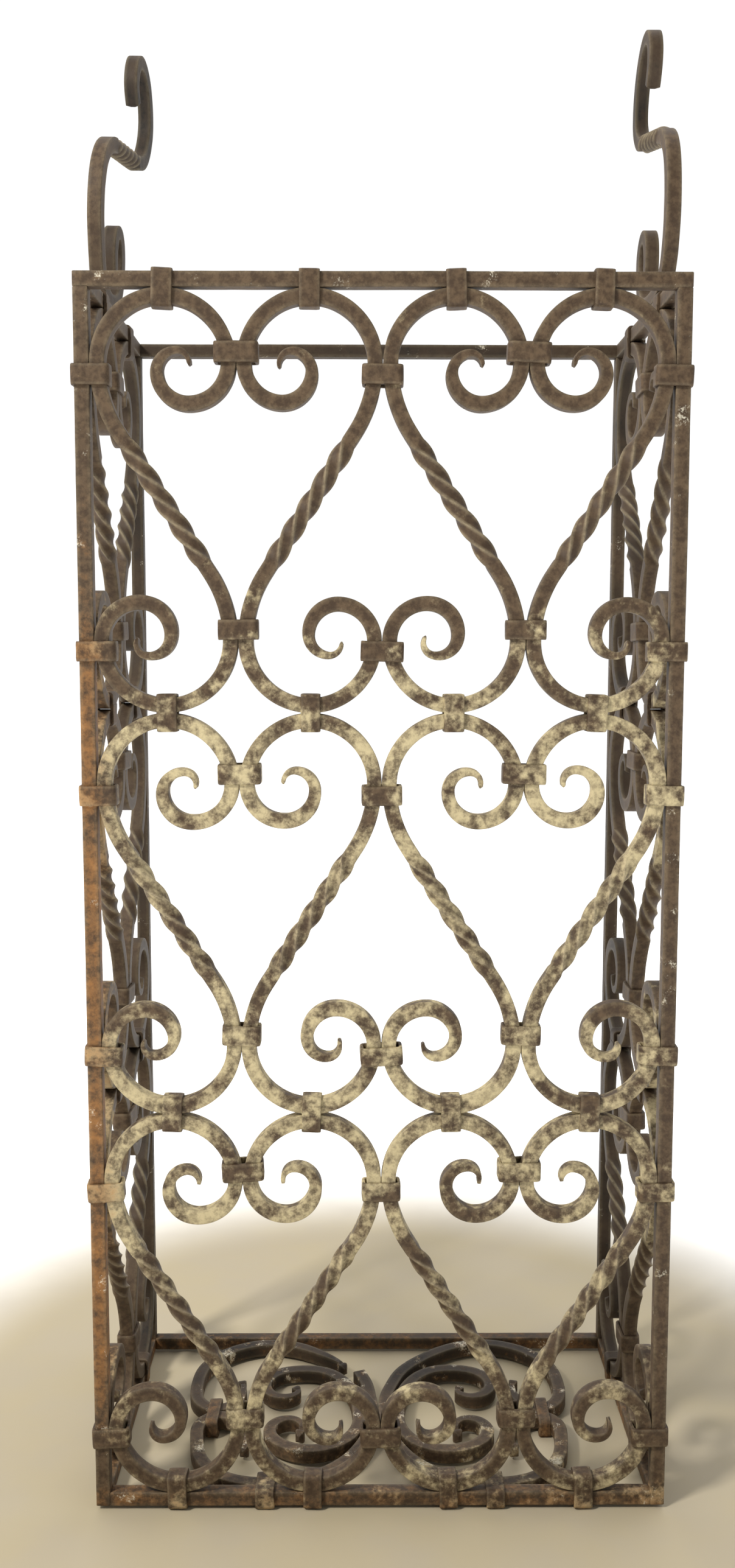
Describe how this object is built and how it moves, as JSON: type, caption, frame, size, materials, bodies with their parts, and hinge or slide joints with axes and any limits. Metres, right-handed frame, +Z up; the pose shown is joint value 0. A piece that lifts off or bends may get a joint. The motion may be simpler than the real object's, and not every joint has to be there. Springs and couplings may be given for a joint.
{
  "type": "window guard",
  "caption": "Forged iron window guard: open-backed basket of square bar filled with twisted heart scrolls tied by wrapped bands, with a scrolled floor and a tall crest scroll on each side.",
  "frame": {"origin": "middle of the guard's footprint, at the height of the lowest wrapped bands", "axes": "+Z up, +Y from the front panel to the open back that faces the wall, +X to the viewer's right when facing the front"},
  "size_m": [0.5234, 0.2922, 1.3506],
  "materials": {
    "frame_iron": "forged, worn, rust patina",
    "scroll_iron": "forged, rust and pale lime patina",
    "band_iron": "forged strip, worn edges",
    "crest_iron": "forged, dark, worn highlights",
    "floor_iron": "forged, dark, flecks of old paint"
  },
  "bodies": {
    "root": {"front_left_post": "frame_iron", "front_right_post": "frame_iron", "rear_left_post": "frame_iron", "rear_right_post": "frame_iron", "front_top_rail": "frame_iron", "front_bottom_rail": "frame_iron", "rear_top_rail": "frame_iron", "rear_bottom_rail": "frame_iron", "left_top_rail": "frame_iron", "left_bottom_rail": "frame_iron", "right_top_rail": "frame_iron", "right_bottom_rail": "frame_iron", "front_scroll_tier1_1": "scroll_iron", "front_scroll_tier1_2": "scroll_iron", "front_scroll_tier1_3": "scroll_iron", "front_scroll_tier1_4": "scroll_iron", "front_scroll_tier2_1": "scroll_iron", "front_scroll_tier2_2": "scroll_iron", "front_scroll_tier2_3": "scroll_iron", "front_scroll_tier2_4": "scroll_iron", "front_scroll_tier3_1": "scroll_iron", "front_scroll_tier3_2": "scroll_iron", "front_scroll_tier3_3": "scroll_iron", "front_scroll_tier3_4": "scroll_iron", "left_scroll_tier1_front": "scroll_iron", "left_scroll_tier1_rear": "scroll_iron", "left_scroll_tier2_front": "scroll_iron", "left_scroll_tier2_rear": "scroll_iron", "left_scroll_tier3_front": "scroll_iron", "left_scroll_tier3_rear": "scroll_iron", "left_crest_scroll": "crest_iron", "right_scroll_tier1_front": "scroll_iron", "right_scroll_tier1_rear": "scroll_iron", "right_scroll_tier2_front": "scroll_iron", "right_scroll_tier2_rear": "scroll_iron", "right_scroll_tier3_front": "scroll_iron", "right_scroll_tier3_rear": "scroll_iron", "right_crest_scroll": "crest_iron", "floor_small_scroll_left": "floor_iron", "floor_small_scroll_right": "floor_iron", "floor_large_scroll_right": "floor_iron", "floor_rear_scroll_left": "floor_iron", "floor_front_scroll_left": "floor_iron", "front_post_bands": "band_iron", "front_heart_bands": "band_iron", "front_centre_bands": "band_iron", "front_tier_bands": "band_iron", "left_heart_bands": "band_iron", "left_tier_bands": "band_iron", "right_heart_bands": "band_iron", "right_tier_bands": "band_iron", "floor_rail_bands": "band_iron", "floor_curl_bands": "band_iron"}
  },
  "joints": []
}
